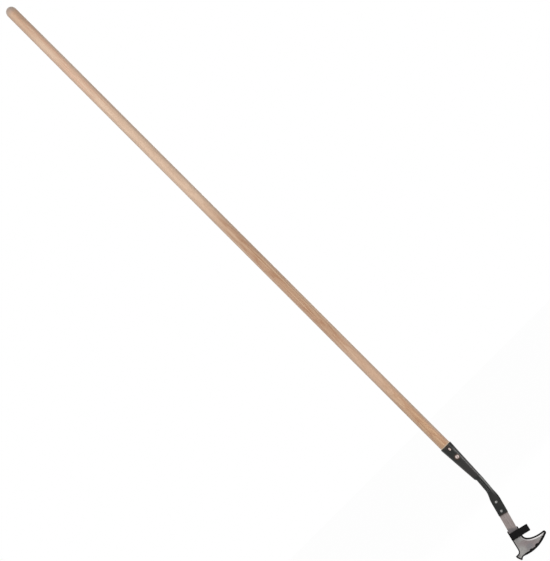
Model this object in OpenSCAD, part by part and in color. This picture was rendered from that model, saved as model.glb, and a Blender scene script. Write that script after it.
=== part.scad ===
// Crack weeder: a hooked blade on a flat tang, riveted to the pressed end of a steel socket
// that takes a long ash handle. The handle stands along Z with the butt up and the blade
// down. X points to the hook side and the blade's face looks to -Y.
// The origin is on the handle's axis, in the middle of its straight stretch.

/* [Handle] */
// Diameter of the handle
handle_d = 28; // [25:0.5:32]
// Length of the straight round stretch above the socket
grip_len = 1280; // [600:10:1600]
// Length over which the handle thins towards the butt
butt_len = 193; // [60:1:300]
// Diameter at the top of the thinned stretch
butt_d = 27; // [22:0.5:28]
// Height of the rounded end of the butt
butt_round = 15; // [8:1:20]
// Length of the handle inside the socket
tenon_len = 112; // [108:0.5:114]
// Diameter of the blunt tip inside the socket
tenon_tip_d = 8; // [5:0.5:9]

/* [Socket] */
// Thickness of the socket's sheet steel
socket_wall = 1.8; // [1:0.1:2]
// Length of the cone
cone_len = 106; // [100:1:108]
// Outside diameter at the small end of the cone
cone_end_d = 19; // [18:0.5:20]
// Lean of the cone towards the hook side as it goes down, in degrees
cone_lean = 0.8; // [0:0.1:1]
// Width of the open seam at the rim, down the back of the cone
seam_gap = 0.8; // [0.4:0.1:2]
// Length of the shoulder from the cone to the neck
shoulder_len = 7; // [5:0.5:12]
// Outside diameter of the round neck
neck_d = 16.4; // [15:0.2:17]
// How far the neck starts to the hook side of the handle's axis
neck_shift = 2.7; // [0:0.1:3]
// Lean of the neck towards the heel side, in degrees
neck_lean = 4.5; // [1:0.5:6]
// Length of the straight stretch of the neck
neck_len = 27; // [22:1:40]
// Radius of the bend below the neck
bend_r = 150; // [130:5:180]
// Lean of the pad, the tang and the blade towards the heel side, in degrees
head_lean = 15; // [10:0.5:18]
// Length of the straight stretch below the bend, down to the pad's end
pad_len = 49; // [45:0.5:60]
// Width of the flattened pad
pad_w = 24.4; // [20:0.2:26]
// Length over which the tube is pressed flat
flatten_len = 31; // [26:1:36]
// Depth of the crease pressed down the front of the neck
crease_depth = 1.3; // [0.4:0.1:1.4]
// Width of the crease
crease_w = 2.6; // [2:0.2:4]

/* [Fastenings] */
// Diameter of the handle rivet's shank
handle_rivet_d = 6; // [4:0.5:7]
// Diameter of the handle rivet's round head
handle_rivet_head_d = 10; // [8:0.5:12]
// Depth of the handle rivet below the socket's rim
handle_rivet_down = 37.8; // [30:0.2:60]
// Diameter of the nail's shank
nail_d = 3; // [2:0.2:4]
// Length of the nail
nail_len = 20; // [12:1:24]
// Length of the nail's oblong head
nail_head_len = 8.4; // [6:0.2:10]
// Width of the nail's oblong head
nail_head_w = 4.4; // [3.6:0.2:5.6]
// Depth of the nail below the socket's rim
nail_down = 12.2; // [8:0.1:18]
// How far the nail and the handle rivet sit to the hook side
fastening_shift = 1.5; // [0:0.1:3]
// Diameter of the tang rivets' shanks
tang_rivet_d = 6; // [4:0.5:7]
// Diameter of the tang rivets' heads
tang_rivet_head_d = 9.6; // [8:0.2:12]
// Distance from the pad's end to the lower tang rivet
tang_rivet_edge = 9; // [7:0.5:12]
// Distance between the two tang rivets
tang_rivet_pitch = 25; // [18:0.5:27]
// Play around each shank in its holes
shank_play = 0.05; // [0.02:0.01:0.1]

/* [Tang] */
// Width of the tang
tang_w = 23; // [18:0.5:25]
// Thickness of the tang
tang_t = 5; // [4:0.5:6]
// Length of the tang behind the pad
tang_lap = 43; // [40:0.5:44]
// Length of the tang between the pad's end and the blade's top edge
tang_show = 41.4; // [25:0.2:80]
// Radius of the tang's upper corners
tang_corner_r = 3; // [1:0.5:6]

/* [Blade] */
// Thickness of the blade
blade_t = 4; // [3:0.5:6]
// Width of the blade at its top edge
blade_w = 29; // [26:0.2:30]
// Height of the blade from its top edge to the bottom of its belly
blade_h = 72.2; // [68:0.2:76]
// Reach of the hook from the tang's centre line
hook_reach = 67; // [60:0.5:80]
// Depth of the hook's tip below the blade's top edge
hook_down = 41; // [39:0.2:45]
// Radius of the hook's rounded tip
hook_tip_r = 5; // [4:0.1:5.5]
// Distance from the tang's centre line to the throat
throat_side = 13.8; // [12:0.1:14.4]
// Depth below the blade's top edge at which the throat opens
throat_down = 26; // [24:0.5:28]
// Reach of the heel from the tang's centre line
heel_reach = 25.5; // [22:0.5:32]
// Depth of the heel's upper corner below the blade's top edge
heel_down = 61.5; // [60:0.5:66]
// Height of the heel's slanted end
heel_h = 15.5; // [11:0.5:16]
// Width of the ground bevel along the throat and the hook
throat_bevel = 3; // [1.5:0.1:3.4]
// Width of the bevel along the belly
belly_bevel = 4.4; // [2:0.1:5]
// Width of the bevel along the straight edge and the heel
edge_bevel = 2.2; // [1:0.1:2.6]

/* [Stop bar] */
// Length of the bar across the blade
stop_len = 50.8; // [40:0.2:60]
// Height of the bar along the blade
stop_h = 18; // [12:0.5:19]
// Thickness of the bar
stop_t = 8; // [6:0.5:12]
// Distance from the blade's top edge to the bar's upper edge, at the tang's centre line
stop_down = 7.2; // [6:0.1:9]
// Distance from the blade's straight edge to the bar's end
stop_inset = 0; // [0:0.1:2]
// Rise of the bar towards its free end, in degrees
stop_rise = 1.5; // [0:0.5:3]
// Radius of the bar's corners
stop_corner_r = 1.5; // [0.8:0.1:2.5]
// Leg of the two fillet welds
weld_leg = 3.5; // [2:0.5:4]

/* [Hidden] */
$fn = 96;

// Overrun of a cutting shape past the surface that it cuts
cut = 1;
// Depth by which shapes of one piece run into each other
overlap = 0.03;

// Heights on the handle, from the origin in the middle of the straight stretch
rim_z = -grip_len / 2;
butt_start_z = grip_len / 2;
butt_dome_z = butt_start_z + butt_len;
tenon_tip_z = rim_z - tenon_len;

// The cone outside and inside. Its inside is the taper that seats the handle.
rim_d = handle_d + 2 * socket_wall;
cone_slope = (rim_d - cone_end_d) / 2 / cone_len;
cone_end_z = rim_z - cone_len;
tenon_seat = cone_len - 4;
function cone_r(down) = rim_d / 2 - cone_slope * down;

// The cone and the tenon in it lean about the middle of the rim
module on_cone() translate([0, 0, rim_z]) rotate([0, -cone_lean, 0]) translate([0, 0, -rim_z])
    children();
cone_end_x = cone_len * sin(cone_lean);

// The socket's centre line below the shoulder: a straight neck, a bend and the straight pad
neck_z = cone_end_z - shoulder_len;
bend_len = bend_r * (head_lean - neck_lean) * PI / 180;
neck_run = neck_len + bend_len + pad_len;
function lean_at(q) = neck_lean + (head_lean - neck_lean) * min(max((q - neck_len) / bend_len, 0), 1);
function straight(from, lean, run) = from + run * [-sin(lean), 0, -cos(lean)];
function bent(from, lean) = from
    + bend_r * [cos(lean) - cos(neck_lean), 0, sin(neck_lean) - sin(lean)];
neck_end = straight([neck_shift, 0, neck_z], neck_lean, neck_len);
bend_end = bent(neck_end, head_lean);
function centre_at(q) = q < neck_len ? straight([neck_shift, 0, neck_z], neck_lean, q)
    : q < neck_len + bend_len ? bent(neck_end, lean_at(q))
    : straight(bend_end, head_lean, q - neck_len - bend_len);
pad_end = centre_at(neck_run);

// The tube goes from round to flat. It is flat where the tang's upper end lies.
pad_t = 2 * socket_wall;
pad_y = -(tang_t + pad_t) / 2;
flat_q = neck_run - tang_lap - 0.5;
widen_lag = 5;
function ease(t) = let (u = min(max(t, 0), 1)) u * u * (3 - 2 * u);
function flat_at(q) = ease((q - flat_q + flatten_len) / flatten_len);
function wide_at(q) = ease((q - flat_q - widen_lag + flatten_len) / flatten_len);
function half_w(q) = neck_d / 2 + (pad_w - neck_d) / 2 * wide_at(q);
function half_t(q) = neck_d / 2 + (pad_t - neck_d) / 2 * flat_at(q);
function squareness(q) = 2 + 6 * flat_at(q);
function crease_at(q) = crease_depth * ease(q / 6) * (1 - ease((q - neck_len - bend_len / 3) / 14));

// Outline of the tube at a run q past the neck's start, drawn in by a wall thickness.
// The crease lies along the front, and drifts to the hook side as the tube flattens.
tube_sides = 44;
function lobe(c, n) = sign(c) * pow(abs(c), 2 / n);
function tube_ring(q, wall) = let (
        lean = lean_at(q),
        centre = centre_at(q) + [0, pad_y * flat_at(q), 0],
        a = half_w(q) - wall,
        b = half_t(q) - wall,
        n = squareness(q),
        crease_x = 2.4 * flat_at(q))
    [for (i = [0:tube_sides - 1]) let (
        angle = -360 * i / tube_sides,
        x = a * lobe(cos(angle), n),
        y0 = b * lobe(sin(angle), n),
        dent = y0 < 0 ? crease_at(q) * exp(-pow((x - crease_x) / crease_w * 2, 2)) : 0,
        y = y0 + dent)
        centre + [x * cos(lean), y, -x * sin(lean)]];
function round_ring(r, z) = [for (i = [0:tube_sides - 1]) let (angle = -360 * i / tube_sides)
    [cone_end_x + r * cos(angle), r * sin(angle), z]];
function shoulder_ring(t, wall) = let (
        top = round_ring(cone_end_d / 2 - wall, cone_end_z),
        low = tube_ring(0, wall),
        u = ease(t))
    [for (i = [0:tube_sides - 1]) [
        top[i][0] + (low[i][0] - top[i][0]) * u,
        top[i][1] + (low[i][1] - top[i][1]) * u,
        top[i][2] + (low[i][2] - top[i][2]) * t]];

// A closed solid through a list of rings that have the same number of points. The end
// faces are fans of triangles from one corner, unless they are given.
function fan(hub, from, to) = [for (i = [from:to - 1]) [hub, i, i + 1]];
module loft(rings, end_faces = []) {
    n = len(rings[0]);
    m = len(rings);
    ends = len(end_faces) > 0 ? end_faces : fan(0, 1, n - 1);
    polyhedron(
        points = [for (ring = rings) each ring],
        faces = concat(
            ends,
            [for (k = [0:m - 2], i = [0:n - 1]) let (j = (i + 1) % n)
                each [[k * n + i, (k + 1) * n + i, k * n + j],
                      [k * n + j, (k + 1) * n + i, (k + 1) * n + j]]],
            [for (f = ends) (m - 1) * n * [1, 1, 1] + [f[2], f[1], f[0]]]),
        convexity = 6);
}

// Places what follows in the tang's own frame: x to the hook side, z up along the tang,
// zero at the pad's end on the tang's centre line
module on_tang() translate([pad_end[0], 0, pad_end[2]]) rotate([0, head_lean, 0]) children();

// A round bar through the part from front to back, at a height z
module cross_bar(d, x, z, y0, y1)
    translate([x, y0, z]) rotate([-90, 0, 0]) cylinder(d = d, h = y1 - y0);

// A round rivet head, a slice of a ball on a short stem, standing on y = 0 and rising to -Y
module round_head(d, h, stem = 0) {
    ball_r = (d * d / 4 + h * h) / (2 * h);
    half_angle = asin(d / 2 / ball_r);
    rotate([90, 0, 0]) rotate_extrude() polygon(concat(
        [[0, -stem], [d / 2, -stem]],
        [for (i = [0:12]) let (angle = half_angle * (1 - i / 12))
            [ball_r * sin(angle), h - ball_r * (1 - cos(angle))]]));
}

// The cone as a solid, for seating heads on its outside
module cone_solid() on_cone() translate([0, 0, cone_end_z])
    cylinder(r1 = cone_end_d / 2, r2 = rim_d / 2, h = cone_len);

// Ash handle in one piece: the turned grip and the tapered tenon, which leans with the cone.
// The tenon's top runs up into the grip, a little thinner than it.
root_rise = 2;
root_step = 0.3;
module handle() color([0.78, 0.64, 0.5]) difference() {
    union() {
        rotate_extrude() polygon(concat(
            [[0, rim_z], [handle_d / 2, rim_z], [handle_d / 2, butt_start_z]],
            [for (i = [0:24]) let (angle = 90 * i / 24)
                [butt_d / 2 * cos(angle), butt_dome_z + butt_round * sin(angle)]]));
        on_cone() rotate_extrude() polygon([
            [0, tenon_tip_z], [tenon_tip_d / 2, tenon_tip_z],
            [cone_r(tenon_seat) - socket_wall, rim_z - tenon_seat],
            [handle_d / 2 - root_step, rim_z + root_rise], [0, rim_z + root_rise]]);
    }
    cross_bar(handle_rivet_d + 2 * shank_play, fastening_shift, rim_z - handle_rivet_down,
              -handle_d, handle_d);
    cross_bar(nail_d + 2 * shank_play, fastening_shift, rim_z - nail_down,
              -handle_d, nail_tip_y + shank_play);
}

// Sheet-steel socket: a rolled cone with an open seam at the back and a level rim, a
// shoulder, a creased neck and an end that is pressed flat
tube_stops = 14;
shoulder_stops = 3;
seam_angle = 2 * asin(seam_gap / rim_d);
module cone_wall() difference() {
    on_cone() rotate([0, 0, 90 + seam_angle / 2]) rotate_extrude(angle = 360 - seam_angle)
        polygon([[cone_r(-cut), rim_z + cut], [cone_r(-cut) - socket_wall, rim_z + cut],
                 [cone_end_d / 2 - socket_wall, cone_end_z], [cone_end_d / 2, cone_end_z]]);
    translate([-rim_d, -rim_d, rim_z]) cube([2 * rim_d, 2 * rim_d, 2 * cut]);
}
module socket() color([0.2, 0.21, 0.2]) difference() {
    union() {
        cone_wall();
        loft(concat(
            [round_ring(cone_end_d / 2 - overlap, cone_end_z + 1)],
            [for (i = [0:shoulder_stops - 1]) shoulder_ring(i / shoulder_stops, -overlap)],
            [for (i = [0:tube_stops]) tube_ring(flat_q * i / tube_stops, 0)],
            [tube_ring(flat_q + widen_lag, 0), tube_ring(neck_run, 0)]));
    }
    loft(concat(
        [round_ring(cone_end_d / 2 - socket_wall + overlap, cone_end_z + 2)],
        [for (i = [0:shoulder_stops - 1]) shoulder_ring(i / shoulder_stops, socket_wall - overlap)],
        [for (i = [0:tube_stops - 2]) tube_ring(flat_q * i / tube_stops, socket_wall)]));
    cross_bar(handle_rivet_d + 2 * shank_play, fastening_shift, rim_z - handle_rivet_down,
              -rim_d, rim_d);
    cross_bar(nail_d + 2 * shank_play, fastening_shift, rim_z - nail_down, -rim_d, 0);
    for (down = tang_rivet_downs) on_tang()
        cross_bar(tang_rivet_d + 2 * shank_play, 0, down, -rim_d, rim_d);
}

// Nail through the socket's wall into the handle, with an oblong head along the handle
nail_front_y = -cone_r(nail_down);
nail_tip_y = nail_front_y + nail_len;
nail_head_t = 1.5;
module socket_nail() color([0.8, 0.74, 0.71]) {
    cross_bar(nail_d, fastening_shift, rim_z - nail_down, nail_front_y, nail_tip_y);
    difference() {
        translate([fastening_shift, nail_front_y, rim_z - nail_down]) rotate([90, 0, 0])
            translate([0, 0, -socket_wall]) linear_extrude(nail_head_t + socket_wall) {
                square([nail_head_w, nail_head_len - nail_head_w], center = true);
                for (side = [-1, 1]) translate([0, side * (nail_head_len - nail_head_w) / 2])
                    circle(d = nail_head_w);
            }
        cone_solid();
    }
}

// Rivet through both walls of the socket and the handle
handle_rivet_head_h = handle_rivet_head_d * 0.27;
module handle_rivet() color([0.8, 0.74, 0.71]) {
    wall_y = cone_r(handle_rivet_down);
    shank_end = wall_y + handle_rivet_head_h / 2;
    cross_bar(handle_rivet_d, fastening_shift, rim_z - handle_rivet_down, -shank_end, shank_end);
    difference() {
        for (face = [0, 180])
            translate([fastening_shift, 0, rim_z - handle_rivet_down]) rotate([0, 0, face])
                translate([0, -wall_y, 0])
                    round_head(handle_rivet_head_d, handle_rivet_head_h, socket_wall);
        cone_solid();
    }
}

// Flat bar between the socket's pad and the blade. It ends against the stop bar.
function stop_top(x) = -(tang_show + stop_down) + x * tan(stop_rise);
tang_rivet_downs = [tang_rivet_edge + tang_rivet_pitch, tang_rivet_edge];
module tang() color([0.62, 0.59, 0.57]) on_tang() difference() {
    translate([0, tang_t / 2, 0]) rotate([90, 0, 0]) linear_extrude(tang_t) {
        polygon([
            [-tang_w / 2, stop_top(-tang_w / 2)], [tang_w / 2, stop_top(tang_w / 2)],
            [tang_w / 2, tang_lap - tang_corner_r], [-tang_w / 2, tang_lap - tang_corner_r]]);
        translate([-tang_w / 2 + tang_corner_r, tang_lap - tang_corner_r - cut])
            square([tang_w - 2 * tang_corner_r, tang_corner_r + cut]);
        for (side = [-1, 1])
            translate([side * (tang_w / 2 - tang_corner_r), tang_lap - tang_corner_r])
                circle(r = tang_corner_r);
    }
    for (down = tang_rivet_downs)
        cross_bar(tang_rivet_d + 2 * shank_play, 0, down, -tang_t, tang_t);
}

// Rivet through the pad and the tang, with a round head in front and a peened one behind
tang_rivet_head_h = tang_rivet_head_d * 0.25;
module tang_rivet(down) color([0.6, 0.59, 0.58]) on_tang() {
    cross_bar(tang_rivet_d, 0, down, pad_y - pad_t / 2, tang_t / 2);
    translate([0, pad_y - pad_t / 2, down]) round_head(tang_rivet_head_d, tang_rivet_head_h);
    translate([0, tang_t / 2, down]) rotate([0, 0, 180])
        round_head(tang_rivet_head_d, tang_rivet_head_h);
}
module upper_tang_rivet() tang_rivet(tang_rivet_downs[0]);
module lower_tang_rivet() tang_rivet(tang_rivet_downs[1]);

// Points of the blade's edge: across, down from the top edge, and the bevel's width there.
// Curves are drawn through handles that hang on the blade's own sizes.
function curve_point(p, t) = len(p) == 1 ? p[0]
    : curve_point([for (i = [0:len(p) - 2]) p[i] * (1 - t) + p[i + 1] * t], t);
function curve(p, n, skip = 0) = [for (i = [skip:n - 1]) curve_point(p, i / n)];
function corner(x, y, r, from, to, n, bevel) = [for (i = [0:n]) let (
        angle = from + (to - from) * i / n) [x + r * cos(angle), y + r * sin(angle), bevel]];

// Bevel along the square edges and at the heel's corners, and the small corner radii
blunt = 0.6;
corner_bevel = 0.9;
top_r = 3;
small_r = 1.5;
heel_r = 2;

// The straight side hollows in a little on its way down to the heel
half_blade = blade_w / 2;
side_hollow = 1.5;
side_x = -half_blade + side_hollow;
side_end = heel_down - 10;
side_start = small_r + 3;

// The throat opens below a short lead, and the round tip of the hook turns into the belly
throat_flare = 0.2;
throat_lead = 7;
tip_x = hook_reach - hook_tip_r;
tip_y = hook_down + hook_tip_r;
tip_turn = 52;
tip_bevel = min(throat_bevel, hook_tip_r * 0.6);

// The belly ends in a fillet that runs down to the heel's lower tip
belly_rise = 0.9;
belly_end = [-5, blade_h - belly_rise, edge_bevel];
heel_tip_y = heel_down + heel_h;
heel_tip_x = heel_reach - heel_h * 0.6;

// The stretches of the edge, clockwise from the upper left corner as the face shows them
top_left = corner(-half_blade + small_r, small_r, small_r, -180, -90, 6, blunt);
top_right = corner(half_blade - top_r, top_r, top_r, -90, 0, 12, blunt);
throat = concat(
    [[throat_side + throat_flare, throat_down - throat_lead, blunt]],
    curve([[throat_side, throat_down, blunt],
           [throat_side + throat_flare, throat_down + 2 * throat_lead, throat_bevel * 1.4],
           [hook_reach * 0.58, hook_down + hook_tip_r * 0.84, throat_bevel],
           [tip_x, hook_down, tip_bevel]], 40));
hook_tip = corner(tip_x, tip_y, hook_tip_r, -90, tip_turn, 12, tip_bevel);
belly = curve([
    [tip_x + hook_tip_r * cos(tip_turn), tip_y + hook_tip_r * sin(tip_turn), tip_bevel],
    [hook_reach * 0.66, blade_h - 5.8, belly_bevel * 1.3],
    [hook_reach / 3, blade_h + 2.3, belly_bevel * 1.2],
    belly_end], 40, 1);
low_fillet = curve([
    belly_end,
    [-half_blade + 3.4, blade_h - 2 * belly_rise, edge_bevel],
    [-half_blade + 0.4, heel_tip_y - small_r, corner_bevel]], 8);
low_tip = corner(-heel_tip_x, heel_tip_y - heel_r, heel_r, 40, 134, 6, corner_bevel);
heel_end = curve([
    [-heel_tip_x - 1.2 * heel_r, heel_tip_y - 0.8 * heel_r, corner_bevel],
    [-heel_reach + 0.4 * heel_r, heel_down + 0.46 * heel_h, edge_bevel * 1.4],
    [-heel_reach + 0.1 * heel_r, heel_down + 1.6 * heel_r, corner_bevel]], 8);
up_tip = corner(-heel_reach + heel_r, heel_down + heel_r, heel_r, 170, 255, 6, corner_bevel);
up_fillet = curve([
    [-heel_reach + 2.1 * heel_r, heel_down - 0.4, edge_bevel],
    [side_x, heel_down - 1.5, edge_bevel],
    [side_x, side_end, edge_bevel]], 12);
straight_side = [[side_x, side_end, edge_bevel], [-half_blade, side_start, edge_bevel]];
stretches = [top_left, top_right, throat, hook_tip, belly, low_fillet, low_tip, heel_end,
             up_tip, up_fillet, straight_side];
blade_edge = [for (stretch = stretches) each stretch];
edge_n = len(blade_edge);

// Where each stretch starts in the list of points
function start_of(k) = k == 0 ? 0 : start_of(k - 1) + len(stretches[k - 1]);

// The blade's faces are fans from five points, each of which sees its part of the outline
neck_hub = edge_n - 1;
side_hub = start_of(10);
throat_start = start_of(2) + 1;
belly_hub = start_of(5);
heel_hub = start_of(6) - 1;
fillet_hub = start_of(9) + 6;
blade_faces = concat(
    fan(neck_hub, 0, throat_start),
    [[neck_hub, throat_start, side_hub], [belly_hub, side_hub, throat_start]],
    fan(belly_hub, throat_start, belly_hub - 1),
    fan(belly_hub, fillet_hub, side_hub),
    fan(fillet_hub, belly_hub, heel_hub),
    fan(heel_hub, heel_hub + 1, fillet_hub));

// The bevel is ground from the blade's face, and leaves a land at the back
bevel_slope = 0.55;
blade_face_y = tang_t / 2;
blade_back_y = blade_face_y + blade_t;
function edge_flat(i) = let (p = blade_edge[(i + edge_n) % edge_n]) [p[0], p[1]];
function inward(i) = let (along = edge_flat(i + 1) - edge_flat(i - 1))
    [-along[1], along[0]] / norm(along);
function on_blade(p, y) = [p[0], y, -p[1]];
module blade() color([0.6, 0.59, 0.58]) on_tang() translate([0, 0, -tang_show]) loft([
    [for (i = [0:edge_n - 1]) on_blade(edge_flat(i) + inward(i) * blade_edge[i][2], blade_face_y)],
    [for (i = [0:edge_n - 1]) on_blade(edge_flat(i), blade_face_y + blade_edge[i][2] * bevel_slope)],
    [for (i = [0:edge_n - 1]) on_blade(edge_flat(i), blade_back_y)]], blade_faces);

// Black bar across the blade's neck, with a free arm over the throat
stop_start = -half_blade + stop_inset;
module stop_bar() color([0.1, 0.1, 0.1]) on_tang()
    translate([0, blade_face_y, stop_top(0)]) rotate([0, -stop_rise, 0]) rotate([90, 0, 0])
        linear_extrude(stop_t) translate([stop_start, -stop_h]) {
            translate([stop_corner_r, 0]) square([stop_len - 2 * stop_corner_r, stop_h]);
            translate([0, stop_corner_r]) square([stop_len, stop_h - 2 * stop_corner_r]);
            for (x = [stop_corner_r, stop_len - stop_corner_r])
                for (y = [stop_corner_r, stop_h - stop_corner_r])
                    translate([x, y]) circle(r = stop_corner_r);
        }

// A fillet weld: a quarter-round bead along z, in the corner between x = 0 and y = 0
module weld_bead(run) color([0.4, 0.39, 0.38]) linear_extrude(run) intersection() {
    circle(r = weld_leg);
    square(weld_leg);
}

// Weld between the tang's back and the blade's top edge
tang_weld_end = half_blade - top_r;
tang_weld_run = 2 * tang_weld_end;
module tang_weld() on_tang() translate([tang_weld_end, blade_face_y, -tang_show])
    rotate([0, -90, 0]) weld_bead(tang_weld_run);

// Weld between the stop bar's back and the slanted edge of the blade's neck
stop_weld_end = throat_down - throat_lead;
stop_weld_run = stop_weld_end - top_r - stop_down / 2;
neck_slant = atan((half_blade - throat_side - throat_flare) / (stop_weld_end - top_r));
module stop_weld() on_tang()
    translate([throat_side + throat_flare, blade_face_y, -tang_show - stop_weld_end])
    rotate([0, neck_slant, 0]) weld_bead(stop_weld_run);

handle();
socket();
socket_nail();
handle_rivet();
tang();
upper_tang_rivet();
lower_tang_rivet();
blade();
stop_bar();
tang_weld();
stop_weld();
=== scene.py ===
import bmesh
import bpy
import numpy as np
from mathutils import Matrix, Vector
from mathutils.geometry import delaunay_2d_cdt


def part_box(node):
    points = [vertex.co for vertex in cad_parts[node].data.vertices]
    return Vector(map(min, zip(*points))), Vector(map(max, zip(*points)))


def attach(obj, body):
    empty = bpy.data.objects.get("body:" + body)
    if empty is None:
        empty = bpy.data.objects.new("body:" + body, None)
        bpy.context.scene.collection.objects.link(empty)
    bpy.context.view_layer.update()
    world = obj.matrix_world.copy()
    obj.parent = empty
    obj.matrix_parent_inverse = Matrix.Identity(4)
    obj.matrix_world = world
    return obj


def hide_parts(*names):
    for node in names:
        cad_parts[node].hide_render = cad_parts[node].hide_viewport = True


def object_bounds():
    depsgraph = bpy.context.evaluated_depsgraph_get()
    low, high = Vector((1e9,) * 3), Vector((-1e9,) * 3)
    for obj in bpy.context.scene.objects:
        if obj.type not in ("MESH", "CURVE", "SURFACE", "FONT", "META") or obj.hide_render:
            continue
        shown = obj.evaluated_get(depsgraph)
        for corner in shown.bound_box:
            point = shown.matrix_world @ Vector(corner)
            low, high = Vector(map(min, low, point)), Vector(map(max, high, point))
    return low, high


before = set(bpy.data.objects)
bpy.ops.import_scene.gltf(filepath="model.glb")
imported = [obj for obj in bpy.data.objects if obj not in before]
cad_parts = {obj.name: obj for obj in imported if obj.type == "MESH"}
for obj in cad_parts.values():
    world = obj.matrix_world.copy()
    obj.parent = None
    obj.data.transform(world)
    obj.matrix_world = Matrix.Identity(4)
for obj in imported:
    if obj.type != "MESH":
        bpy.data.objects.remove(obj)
cad_low, cad_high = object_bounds()

# Handle: one length of straight-grained ash, turned round, sanded and lightly oiled. The butt is
# rounded over, and the other end is tapered and driven into the socket. All sizes are in mm.
MM = 0.001
handle_low, handle_high = (np.array(corner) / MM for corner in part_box("handle"))
handle_r = handle_high[0]
rim_z = -640.0
butt_start = 640.0
butt_r = 13.5
butt_round = 15.0
butt_dome = handle_high[2] - butt_round
tenon_tip_r = 4.0
tenon_ease = 0.04
wall = 1.8
cone_len = 106.0
cone_end_r = 9.5
rim_r = handle_r + wall
cone_lean = np.radians(0.8)


class Wire:
    """One output among a material's nodes. Sums and products add the Math nodes that make them."""

    def __init__(self, tree, output=None):
        self.tree = tree
        self.output = output

    def node(self, kind, settings, inputs, output=0):
        """Adds a node: its settings first, then the values or wires of its sockets."""
        made = self.tree.nodes.new("ShaderNode" + kind)
        for name, value in settings.items():
            setattr(made, name, value)
        for name, value in inputs.items():
            if isinstance(value, Wire):
                self.tree.links.new(value.output, made.inputs[name])
            else:
                made.inputs[name].default_value = value
        return Wire(self.tree, made.outputs[output])

    def math(self, operation, *others):
        """A Math node on this value and the others."""
        return self.node("Math", {"operation": operation}, dict(enumerate((self, *others))))

    def __add__(self, other):
        return self.math("ADD", other)

    __radd__ = __add__

    def __sub__(self, other):
        return self.math("SUBTRACT", other)

    def __rsub__(self, other):
        return self.node("Math", {"operation": "SUBTRACT"}, {0: other, 1: self})

    def __mul__(self, other):
        return self.math("MULTIPLY", other)

    __rmul__ = __mul__

    def __truediv__(self, other):
        return self.math("DIVIDE", other)

    def step(self, start, end):
        """A soft ramp from 0 at start to 1 at end."""
        return self.node("MapRange", {"interpolation_type": "SMOOTHSTEP"},
                         {"Value": self, "From Min": start, "From Max": end})


def tint(red, green, blue):
    """A colour as a shader wants it, from the screen's 0 to 255."""
    shares = np.array([red, green, blue]) / 255
    linear = np.where(shares <= 0.04045, shares / 12.92, ((shares + 0.055) / 1.055) ** 2.4)
    return (*linear, 1.0)


def blend(first, second, share):
    return share.node("Mix", {"data_type": "RGBA"}, {0: share, 6: first, 7: second}, 2)


def cloud(place, size, detail=2.0, shift=0.0):
    """Noise from 0 to 1, in patches of this size in mm along X, Y and Z."""
    shrunk = place.node("VectorMath", {"operation": "MULTIPLY_ADD"},
                        {0: place, 1: [1 / s for s in size], 2: (shift, shift, shift)})
    return shrunk.node("TexNoise", {}, {"Vector": shrunk, "Scale": 1.0, "Detail": detail})


def axis_of(place, letter):
    return place.node("SeparateXYZ", {}, {0: place}, letter)


def bump(height, strength, deep):
    """A relief this many mm deep."""
    return height.node("Bump", {}, {"Strength": strength, "Distance": deep * MM, "Height": height})


def start_finish(name):
    """An empty finish: its material and the place on the piece, in mm in the row frame."""
    made = bpy.data.materials.new(name)
    made.use_nodes = True
    start = Wire(made.node_tree)
    place = start.node("TexCoord", {}, {}, "Object")
    return made, place.node("VectorMath", {"operation": "SCALE"}, {0: place, "Scale": 1 / MM})


def finish_with(made, fixed, **fed):
    """Sets the shader's fixed sockets, then links what changes over the surface."""
    shader = made.node_tree.nodes["Principled BSDF"]
    for name, value in fixed.items():
        shader.inputs[name].default_value = value
    for name, wire in fed.items():
        made.node_tree.links.new(wire.output, shader.inputs[name.replace("_", " ")])
    return made


def add_piece(name, points, faces, finish, sharp=35.0, marks=None):
    """A mesh piece from points in mm. Marks are values kept at each point for its finish."""
    mesh = bpy.data.meshes.new(name)
    mesh.from_pydata((np.asarray(points) * MM).tolist(), [], [list(map(int, f)) for f in faces])
    mesh.validate()
    work = bmesh.new()
    work.from_mesh(mesh)
    bmesh.ops.recalc_face_normals(work, faces=work.faces)
    work.to_mesh(mesh)
    work.free()
    for mark, values in (marks or {}).items():
        mesh.attributes.new(mark, "FLOAT", "POINT").data.foreach_set(
            "value", np.asarray(values, np.float32))
    mesh.shade_smooth()
    mesh.set_sharp_from_angle(angle=np.radians(sharp))
    mesh.materials.append(finish)
    piece = bpy.data.objects.new(name, mesh)
    bpy.context.scene.collection.objects.link(piece)
    return piece


def skin(rings, caps=True):
    """Points and faces of a closed surface through rings with the same number of points."""
    count = len(rings[0])
    faces = []
    for k in range(len(rings) - 1):
        for i in range(count):
            j = (i + 1) % count
            faces.append([k * count + i, k * count + j, (k + 1) * count + j, (k + 1) * count + i])
    if caps:
        faces.append(list(range(count))[::-1])
        faces.append([(len(rings) - 1) * count + i for i in range(count)])
    return np.concatenate(rings), faces


def leaned(points):
    """Points of the cone or the tenon, leaned to the hook side about the middle of the rim."""
    x, y, z = np.asarray(points, float).T
    return np.stack([x + np.maximum(rim_z - z, 0) * np.tan(cone_lean), y, z], axis=1)


def handle_radius(z):
    """Radius of the handle at a height."""
    seat_z = rim_z - cone_len + 4
    seat_r = rim_r - (rim_r - cone_end_r) * (cone_len - 4) / cone_len - wall
    heights = [handle_low[2], seat_z, rim_z, rim_z + 0.5, butt_start, butt_dome]
    radii = [tenon_tip_r, seat_r - tenon_ease, handle_r - tenon_ease, handle_r, handle_r, butt_r]
    rise = np.clip((z - butt_dome) / butt_round, 0, 1)
    return np.interp(z, heights, radii) * np.sqrt(np.maximum(1 - rise ** 2, 0))


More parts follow.
